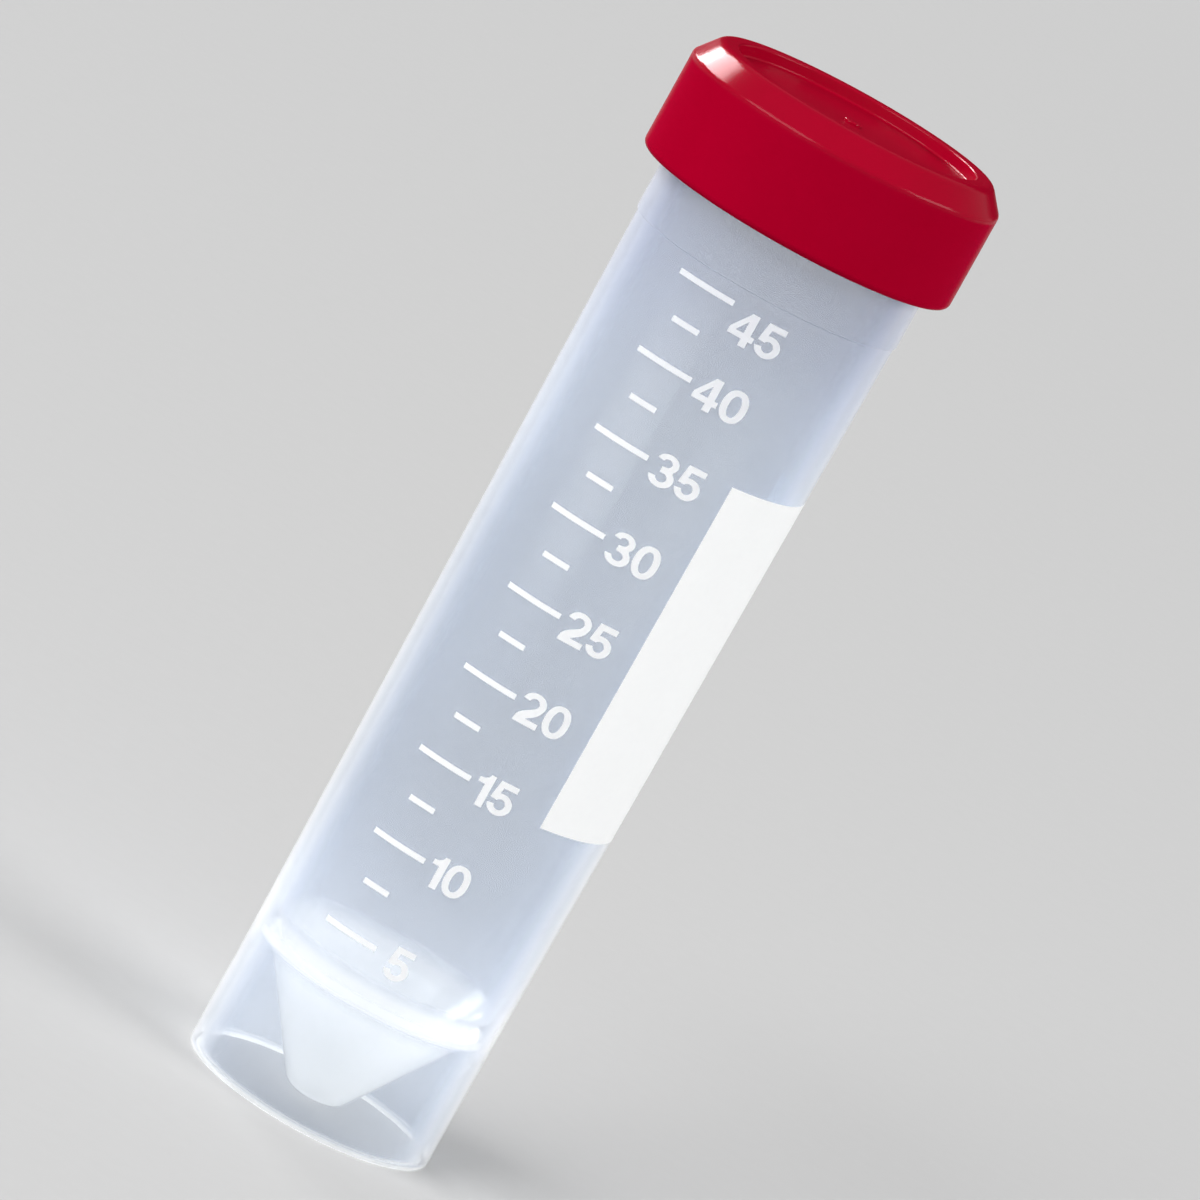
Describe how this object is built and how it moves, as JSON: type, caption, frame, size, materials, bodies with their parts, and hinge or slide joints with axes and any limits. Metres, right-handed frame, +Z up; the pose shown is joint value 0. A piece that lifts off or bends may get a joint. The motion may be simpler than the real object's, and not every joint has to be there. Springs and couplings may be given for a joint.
{
  "type": "50 ml conical tube",
  "caption": "Self-standing conical centrifuge tube of translucent plastic with printed graduations, a writing panel and a red screw cap that lifts off.",
  "frame": {"origin": "centre of the skirt's bottom rim, on the surface that the tube stands on", "axes": "+Z up the tube's axis towards the cap, -Y towards the printed graduations"},
  "size_m": [0.0348, 0.0348, 0.116],
  "materials": {
    "translucent_polypropylene": "moulded, softly glossy, milky and translucent",
    "red_polyethylene": "moulded, smooth and glossy",
    "white_ink": "screen printed, opaque, softly glossy"
  },
  "bodies": {
    "tube": {"tube": "translucent_polypropylene"},
    "cap": {"screw_cap": "red_polyethylene"}
  },
  "joints": [
    {"name": "cap_lift", "type": "slide", "parent": "tube", "child": "cap", "axis": [0, 0, 1], "range_m": [0, 0.03]}
  ]
}
